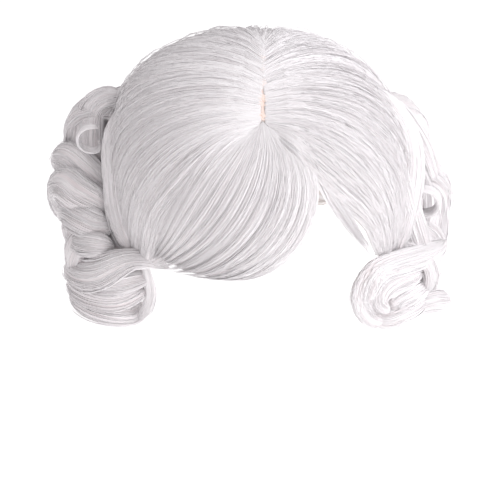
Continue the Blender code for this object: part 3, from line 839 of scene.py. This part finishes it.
def curl_line(curl, reach, height, radius, end_radius, thickness, width):
    """The middle of one curl at t, with half its thickness and half its width there, as ways.

    t runs from 0 at its start to 1 where its outer turn ends, and on to 1 + inner in its inner turns.
    """
    around = math.radians(curl.around)
    wide, deep = CAP_HALF_WIDTH + reach, CAP_HALF_DEPTH + reach
    centre = np.array([wide * math.sin(around), -deep * math.cos(around), -height])
    outwards = np.array([math.sin(around) / wide, -math.cos(around) / deep, 0])
    outwards /= np.linalg.norm(outwards)
    up = np.array([0, 0, 1.0])
    along_head = np.cross(up, outwards)
    lean = math.radians(curl.lean)
    axis = along_head * math.cos(lean) + outwards * math.sin(lean)
    out = outwards * math.cos(lean) - along_head * math.sin(lean)
    towards_face = axis * math.copysign(TELESCOPE * width, -axis[1])

    def line(t):
        angle = np.radians(curl.start + curl.turn * t)[..., None]
        ray = out * np.cos(angle) + up * np.sin(angle)
        wound = np.clip((t - 1) / curl.inner, 0, 1)[..., None]
        size = (radius + (end_radius - radius) * np.minimum(t, 1))[..., None] * (1 - INNER_SHRINK * wound)
        full = np.clip(1 - np.clip(1 - 2 * t, 0, 1) ** 3.2, 0.002, 1) ** 0.45
        full = full[..., None] * (1 - 0.5 * smooth_step(0, 1, wound))
        middle = centre + ray * size + towards_face * wound
        return middle, ray * full * thickness / 2, axis * full * width / 2

    return line


def lead_in(curl, line, joins, rise):
    """The way a lock takes from the crown hair's outer face down to where it joins its curl."""
    side = 1 if curl.around > 0 else -1
    reach = np.degrees(curl.height) - rise
    way = math.radians(curl.around)
    p, q = np.array(reach * math.sin(way)), np.array(-reach * math.cos(way))
    lift = crown_lift(side, p, q, 0.5, reach / 120) + MASS_LEAST
    start = head_point(p, q, lift)
    down = head_point(p * 1.02, q * 1.02, lift) - start
    down /= np.linalg.norm(down)
    normal = head_outward(p, q, lift) * (1 if curl.turn < 0 else -1)
    end, thick, wide = line(np.array(joins))
    onward = line(np.array(joins + 0.02))[0] - end
    onward /= np.linalg.norm(onward)
    pull = np.linalg.norm(end - start) * 0.9

    def led(share):
        x = share[..., None]
        points = hermite(start, down * pull, end, onward * pull, x)
        thick_way = normal * (1 - x) + x * thick / np.linalg.norm(thick)
        thick_way /= np.linalg.norm(thick_way, axis=-1, keepdims=True)
        depth = np.linalg.norm(thick) * (0.12 + 0.88 * smooth_step(0, 1, x))
        return points, thick_way * depth, wide * (0.5 + 0.5 * x)

    return led


def groove_ridge(turn, grooves, t, seed):
    """The grooves that run along a lock, from 0 down in a groove to 1 on a ridge."""
    return np.abs(np.cos(turn * grooves + 1.2 * np.sin(3 * t + seed)))


def lock_core(name, line, make, inner, seed):
    """The close fibres inside a lock: one closed body along its line, grooved lengthwise, with painted shade
    in the grooves.
    """
    work = bmesh.new()
    bmesh.ops.create_uvsphere(work, u_segments=make.around, v_segments=make.along, radius=1)
    balls = np.array([vertex.co for vertex in work.verts])
    end = 1 + inner * CORE_WOUND
    t = np.arccos(np.clip(balls[:, 2], -1, 1)) / np.pi * end
    turn = np.arctan2(balls[:, 1], balls[:, 0])
    middle, thick, wide = line(t)
    ridge = groove_ridge(turn, make.grooves, t, seed)
    full = CORE_FULLNESS + GROOVE_DEPTH * ridge**LOCK_ROUNDING
    full = full * (0.02 + 0.98 * rounded(end - t, 0.06 * end))
    shape = middle + (thick * np.cos(turn)[:, None] + wide * np.sin(turn)[:, None]) * full[:, None]
    for vertex, point in zip(work.verts, shape):
        vertex.co = point
    if work.calc_volume(signed=True) < 0:
        bmesh.ops.reverse_faces(work, faces=work.faces[:])
    mesh = bpy.data.meshes.new(name)
    work.to_mesh(mesh)
    work.free()
    spots = np.stack([turn / (2 * np.pi) + 0.5, t], axis=-1)
    # the grooves are darkened with painted shade, most at their bottoms
    mark_fibres(mesh, spots, (1 - ridge) ** 2 * GROOVE_SHADE)
    return new_piece(name, mesh, curl_core)


def lock_fibres(name, line, make, inner, seed, led=None, joins=0):
    """Single fibres over a lock; some wind on into its inner turns and some come down a lead-in."""
    chance = np.random.default_rng(seed)
    one_each = (make.fibres, 1)
    start = chance.uniform(0, 0.08, one_each)
    winds_on = (chance.random(one_each) < INNER_SHARE) & (inner > 0)
    wound_end = 1 + inner * chance.uniform(0.4, 1.0, one_each)
    end = np.where(winds_on, wound_end, chance.uniform(0.84, 1.0, one_each))
    t = np.linspace(0, 1, make.rings)[None]
    reached = start + (end - start) * t
    turn = chance.uniform(-make.spread, make.spread, one_each)
    turn = turn + chance.uniform(-0.3, 0.3, one_each) * (t - 0.3)
    middle, thick, wide = line(reached)
    if led:
        leads = chance.random(one_each) < LED_SHARE
        ring = np.arange(make.rings)[None]
        last = make.rings // 4
        later = np.clip((ring - last) / (make.rings - 1 - last), 0, 1)
        reached = np.where(leads, joins + (end - joins) * later, reached)
        turn = np.where(leads, np.sin(turn[:, :1]) * 1.2, turn)
        middle, thick, wide = line(reached)
        share = np.clip(ring / last - chance.uniform(0, 0.2, one_each) * (ring < last), 0, 1)
        leading = (leads & (ring < last))[..., None]
        ways = zip(led(share), (middle, thick, wide))
        middle, thick, wide = (np.where(leading, new, old) for new, old in ways)
    ridge = groove_ridge(turn, make.grooves, reached, seed)
    is_loose = chance.random(one_each) < LOOSE_SHARE
    loose = np.where(is_loose, chance.uniform(0.05, LOOSE_MOST, one_each), 0)
    full = FIBRE_FULLNESS + GROOVE_DEPTH * ridge**LOCK_ROUNDING
    full = full + chance.uniform(0.0, 0.07, one_each) + loose * t**2
    offset = (thick * np.cos(turn)[..., None] + wide * np.sin(turn)[..., None]) * full[..., None]
    outward = offset / np.maximum(np.linalg.norm(offset, axis=-1, keepdims=True), 1e-9)
    taper = 1 - 0.75 * smooth_step(0.7, 1, t)
    half_width = CURL_FIBRE_HALF_WIDTH * chance.uniform(0.7, 1.4, one_each) * taper
    tone = lock_tone(turn[:, 0] / (2 * np.pi), CURL_TONES, seed, chance)
    return hair_fibres(name, middle + offset, outward, half_width, tone, loose_fibre)


curl_core = mass_material("curl_core", across=90.0, along=3.0)
for number, curl in enumerate(SIDE_CURLS):
    line = curl_line(
        curl,
        curl.reach * CURL_REACH,
        curl.height * CAP_HEIGHT,
        curl.radius * CURL_RADIUS,
        curl.end_radius * CURL_RADIUS,
        curl.thickness * CURL_THICKNESS,
        curl.width * CURL_WIDTH,
    )
    joins = (JOIN_ANGLE - curl.start) / curl.turn if curl.turn < 0 else 0.02
    led = None if "ringlet" in curl.name else lead_in(curl, line, joins, LEAD_RISE)
    core = lock_core(curl.name + "_core", line, CURL_MAKE, curl.inner, number)
    fibres = lock_fibres(curl.name + "_fibres", line, CURL_MAKE, curl.inner, CURL_SEED + number, led, joins)
    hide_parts(curl.name)


# The laid locks: broad locks brushed over the curls at each side, where they show from the front.
# Each is swept along its own way and tucked under at both ends.
LAID_MAKE = Make(20, 24, 98, 14, 3, 2.4)
LAID_SEED = 300
LAID_FACING = (0.35, -0.62, 0.70)

# mm, at even steps along each lock: its middle's place in the frame, its width and its thickness
LAID_LOCKS = {
    "left_fill": [
        (-84, 26, -39, 9, 6), (-93, 26, -40, 16, 8), (-102, 25, -46, 20, 9), (-106, 22, -56, 22, 9),
        (-107, 16, -65, 22, 9), (-105, 8, -73, 16, 8),
    ],
    "left_edge": [
        (-55, 6, -21, 6, 3), (-73, 0, -29, 11, 4), (-85, -8, -40, 14, 5), (-88, -16, -53, 14, 5),
        (-87, -26, -66, 13, 5), (-85, -34, -81, 14, 6), (-80, -43, -94, 13, 6), (-72, -52, -103, 8, 3),
    ],
    "left_lock_upper": [
        (-90, -8, -96, 10, 6), (-97, -6, -83, 18, 10), (-107, 0, -76, 21, 12), (-117, 8, -72, 21, 12),
        (-124, 18, -78, 18, 11), (-128, 26, -90, 12, 8),
    ],
    "left_lock_middle": [
        (-88, -20, -93, 11, 7), (-97, -20, -87, 20, 11), (-109, -16, -82, 24, 13),
        (-118, -8, -80, 23, 13), (-125, 4, -90, 19, 12), (-126, 12, -107, 16, 10),
        (-121, 14, -122, 11, 8),
    ],
    "left_lock_low": [
        (-88, -30, -96, 10, 7), (-97, -32, -94, 18, 10), (-107, -26, -93, 20, 12),
        (-116, -14, -96, 18, 11), (-123, -2, -105, 13, 9),
    ],
    "left_lock_small": [
        (-87, -42, -103, 9, 6), (-96, -44, -100, 15, 9), (-106, -36, -104, 15, 9),
        (-113, -24, -110, 10, 7),
    ],
    "left_roll_upper": [
        (-54, -52, -111, 5, 4), (-65, -55, -103, 11, 6), (-75, -57, -101, 13, 8),
        (-84, -58, -104, 18, 10), (-94, -55, -112, 21, 12), (-104, -47, -119, 20, 12),
        (-113, -33, -125, 17, 10), (-119, -17, -131, 12, 8),
    ],
    "left_roll_between": [
        (-65, -51, -116, 7, 5), (-72, -55, -116, 12, 8), (-81, -58, -116, 15, 9),
        (-92, -55, -119, 15, 9), (-103, -45, -125, 12, 8),
    ],
    "left_roll_middle": [
        (-68, -43, -129, 8, 6), (-75, -53, -127, 15, 10), (-86, -57, -127, 20, 12),
        (-99, -52, -128, 21, 12), (-110, -38, -133, 18, 11), (-117, -21, -139, 12, 9),
    ],
    "left_roll_low": [
        (-70, -39, -145, 8, 6), (-76, -43, -150, 14, 9), (-86, -46, -148, 17, 12),
        (-99, -42, -147, 18, 12), (-110, -31, -149, 16, 10), (-118, -17, -153, 10, 8),
    ],
    "left_wisp": [
        (-69, -55, -105, 4, 3), (-67, -56, -114, 6, 4), (-66, -54, -127, 8, 5), (-69, -50, -141, 8, 5),
        (-76, -45, -155, 5, 4),
    ],
    "right_edge": [
        (57, 8, -18, 6, 3), (75, 2, -30, 11, 4), (85, -4, -44, 14, 5), (89, -10, -60, 15, 6),
        (88, -18, -74, 15, 6), (85, -26, -88, 14, 6), (81, -34, -101, 12, 5), (77, -42, -109, 8, 4),
    ],
    "right_lock_upper": [
        (66, 10, -28, 8, 5), (78, 8, -37, 14, 9), (87, 6, -50, 18, 10), (94, 6, -64, 20, 11),
        (100, 6, -78, 18, 10), (106, 8, -95, 12, 8),
    ],
    "right_lock_outer": [
        (98, 14, -75, 10, 8), (104, 10, -84, 15, 10), (106, 6, -95, 18, 11), (106, 2, -109, 18, 11),
        (107, -4, -119, 15, 10), (103, -10, -127, 10, 8),
    ],
    "right_fill": [
        (81, 6, -57, 10, 6), (92, 4, -71, 17, 8), (98, 2, -88, 20, 8), (100, -2, -104, 20, 8),
        (95, -14, -114, 16, 9), (89, -26, -119, 9, 7),
    ],
    "right_lock_down": [
        (80, -14, -62, 8, 5), (84, -18, -70, 12, 7), (87, -22, -82, 14, 8), (91, -24, -96, 14, 8),
        (95, -28, -108, 13, 8), (98, -30, -120, 9, 6),
    ],
    "right_sweep": [
        (112, -16, -114, 9, 7), (105, -26, -114, 13, 9), (92, -38, -112, 16, 10),
        (79, -50, -108, 16, 10), (67, -60, -107, 16, 10), (61, -64, -114, 16, 10),
        (59, -64, -126, 16, 10), (65, -60, -140, 14, 9), (75, -52, -149, 9, 7),
    ],
    "right_inner_upper": [
        (97, -36, -122, 9, 6), (87, -46, -120, 14, 8), (77, -53, -120, 15, 9), (71, -58, -123, 13, 8),
        (70, -60, -130, 10, 7), (76, -58, -137, 7, 6),
    ],
    "right_inner_low": [
        (101, -34, -133, 9, 6), (92, -43, -133, 14, 8), (83, -49, -135, 14, 9), (76, -53, -137, 9, 7),
    ],
    "right_roll_low": [
        (66, -52, -146, 9, 7), (74, -54, -145, 14, 9), (83, -52, -142, 15, 10), (92, -46, -141, 13, 10),
        (99, -38, -138, 9, 8),
    ],
    "right_flip": [
        (87, -42, -142, 10, 7), (95, -43, -142, 13, 9), (103, -41, -141, 14, 10),
        (109, -38, -143, 13, 10), (114, -35, -144, 9, 8),
    ],
}

# the solids that these locks stand for
STAND_FOR = {
    "left_roll_middle": "curl_left_jaw",
    "right_sweep": "curl_right_cheek",
    "right_inner_upper": "curl_right_inner",
    "right_roll_low": "curl_right_jaw",
    "right_flip": "curl_right_flip",
}


def laid_line(rows, facing):
    """The middle of a laid lock at t, with half its thickness and half its width there, as ways."""
    steps = np.round(np.linspace(0, 1, len(rows)), 2)
    table = np.column_stack([steps, rows])

    def line(t):
        share = np.clip(t, 0, 1)
        x, y, z, width, thickness = curve_through(table, share)
        ahead = np.stack(curve_through(table, np.clip(share + 0.01, 0, 1))[:3], axis=-1)
        behind = np.stack(curve_through(table, np.clip(share - 0.01, 0, 1))[:3], axis=-1)
        way = ahead - behind
        way /= np.linalg.norm(way, axis=-1, keepdims=True)
        thick_way = facing - way * (way @ facing)[..., None]
        thick_way /= np.linalg.norm(thick_way, axis=-1, keepdims=True)
        wide_way = np.cross(way, thick_way)
        full = (0.12 + 0.88 * rounded(share, 0.22)) * (0.22 + 0.78 * rounded(1 - share, 0.15))
        middle = np.stack([x, y, z], axis=-1) / 1000
        half_thick = thick_way * (thickness * full / 2000)[..., None]
        return middle, half_thick, wide_way * (width * full / 2000)[..., None]

    return line


for number, (name, rows) in enumerate(LAID_LOCKS.items()):
    facing = np.array(LAID_FACING)
    if name.startswith("left"):
        facing[0] = -facing[0]
    line = laid_line(rows, facing)
    core = lock_core(name + "_core", line, LAID_MAKE, 0, LAID_SEED + number)
    fibres = lock_fibres(name + "_fibres", line, LAID_MAKE, 0, LAID_SEED + number)
    if name in STAND_FOR:
        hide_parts(STAND_FOR[name])


# The curls round the nape: three rows, rolled inwards one beside the other, leaning each way in turn.
# They cover the ends of the back hair and the cap's lower edge.
NAPE_CURL_REACH = 0.022
NAPE_CURL_RADIUS = 0.0170
NAPE_CURL_WIDTH = 0.041
NAPE_CURL_THICKNESS = 0.011
NAPE_LEAN = 9.0
NAPE_START = 140.0
NAPE_TURN = -265.0
NAPE_END_RADIUS = 0.62
NAPE_INNER = 0.4
NAPE_MAKE = Make(18, 24, 44, 15, 4, math.pi)
NAPE_LEAD_RISE = 12.0
NAPE_SEED = 200
NAPE_CHANCE_SEED = 31

# row, height below the crown, reach, first place round the head, step and how many
NAPE_ROWS = [
    ("high", 0.96, 1.00, 122, 23.2, 6),
    ("middle", 1.29, 1.15, 112, 22.67, 7),
    ("low", 1.60, 0.95, 102, 22.29, 8),
]

chance = np.random.default_rng(NAPE_CHANCE_SEED)
joins = (JOIN_ANGLE - NAPE_START) / NAPE_TURN
for row, height, reach, first, step, count in NAPE_ROWS:
    for k in range(count):
        around = first + step * k
        around = around if around <= 180 else around - 360
        lean = NAPE_LEAN * (-1) ** k + chance.uniform(-7, 7)
        width, thickness = chance.uniform(1.12, 1.32), chance.uniform(0.95, 1.3)
        radius = chance.uniform(0.94, 1.10)
        name = f"curl_nape_{row}_{k + 1}"
        roll = (NAPE_END_RADIUS, NAPE_START, NAPE_TURN)
        curl = Curl(name, around, reach, height, radius, *roll, width, thickness, lean, NAPE_INNER)
        line = curl_line(
            curl,
            (reach + chance.uniform(-0.10, 0.08)) * NAPE_CURL_REACH,
            (height + chance.uniform(-0.03, 0.03)) * CAP_HEIGHT,
            radius * NAPE_CURL_RADIUS,
            NAPE_END_RADIUS * NAPE_CURL_RADIUS,
            thickness * NAPE_CURL_THICKNESS,
            width * NAPE_CURL_WIDTH,
        )
        seed = NAPE_SEED + 10 * k + int(100 * height)
        led = lead_in(curl, line, joins, NAPE_LEAD_RISE) if row == "high" else None
        core = lock_core(name + "_core", line, NAPE_MAKE, NAPE_INNER, seed)
        fibres = lock_fibres(name + "_fibres", line, NAPE_MAKE, NAPE_INNER, seed, led, joins)
        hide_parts(name)


# The floor and backdrop: one plain white sheet, well below the wig, which is held up as a head holds it.
# It glows a little, so that it stays as white as the studio's.
FLOOR_HEIGHT = -0.36
FLOOR_HALF_SIZE = 6
FLOOR_COLOUR = (0.93, 0.93, 0.93, 1.0)
FLOOR_GLOW = 0.36

work = bmesh.new()
bmesh.ops.create_grid(work, x_segments=1, y_segments=1, size=FLOOR_HALF_SIZE)
bmesh.ops.translate(work, verts=work.verts[:], vec=(0, 0, FLOOR_HEIGHT))
sheet = bpy.data.meshes.new("floor")
work.to_mesh(sheet)
work.free()
floor = bpy.data.objects.new("floor", sheet)
bpy.context.scene.collection.objects.link(floor)
floor_white, tree, shader = new_material("floor_white", FLOOR_COLOUR, roughness=0.9)
shader.inputs["Emission Color"].default_value = (1.0, 1.0, 1.0, 1.0)
shader.inputs["Emission Strength"].default_value = FLOOR_GLOW
floor.data.materials.append(floor_white)


# The light and the camera: a bright soft box on the right, weaker ones in front and above, and a pale
# even sky. The camera looks down on the wig from the front, as the photo does.
SKY_COLOUR = (1.0, 0.965, 0.975, 1.0)
SKY_STRENGTH = 0.50
CAMERA_PLACE = (0, -0.7715, 0.3935)
CAMERA_WAY = (-0.00803, 0.82741, -0.56457)
CAMERA_LENS = 107.8

world = bpy.data.worlds.new("studio")
bpy.context.scene.world = world
world.use_nodes = True
world.node_tree.nodes["Background"].inputs["Color"].default_value = SKY_COLOUR
world.node_tree.nodes["Background"].inputs["Strength"].default_value = SKY_STRENGTH


def soft_box(name, place, target, size, power, colour):
    """A square studio light, turned to face its target."""
    light = bpy.data.lights.new(name, "AREA")
    light.shape = "SQUARE"
    light.size = size
    light.energy = power
    light.color = colour
    lamp = bpy.data.objects.new(name, light)
    lamp.location = place
    lamp.rotation_euler = (Vector(target) - Vector(place)).to_track_quat("-Z", "Y").to_euler()
    bpy.context.scene.collection.objects.link(lamp)
    return lamp


soft_box("key", (1.2, -0.5, 0.8), (0.02, 0, -0.08), size=0.8, power=15, colour=(0.985, 0.985, 1.0))
soft_box("front", (0.1, -1.3, 0.3), (0, 0, -0.12), size=1.0, power=6, colour=(1.0, 0.98, 0.98))
soft_box("top", (-0.1, 0.7, 1.1), (0, 0, -0.08), size=0.8, power=4, colour=(1.0, 1.0, 1.0))

lens = bpy.data.cameras.new("camera")
lens.lens = CAMERA_LENS
lens.sensor_width = 36
lens.clip_start = 0.01
camera = bpy.data.objects.new("camera", lens)
camera.location = CAMERA_PLACE
camera.rotation_euler = Vector(CAMERA_WAY).to_track_quat("-Z", "Y").to_euler()
bpy.context.scene.collection.objects.link(camera)
bpy.context.scene.camera = camera
bpy.context.scene.view_settings.view_transform = "Standard"
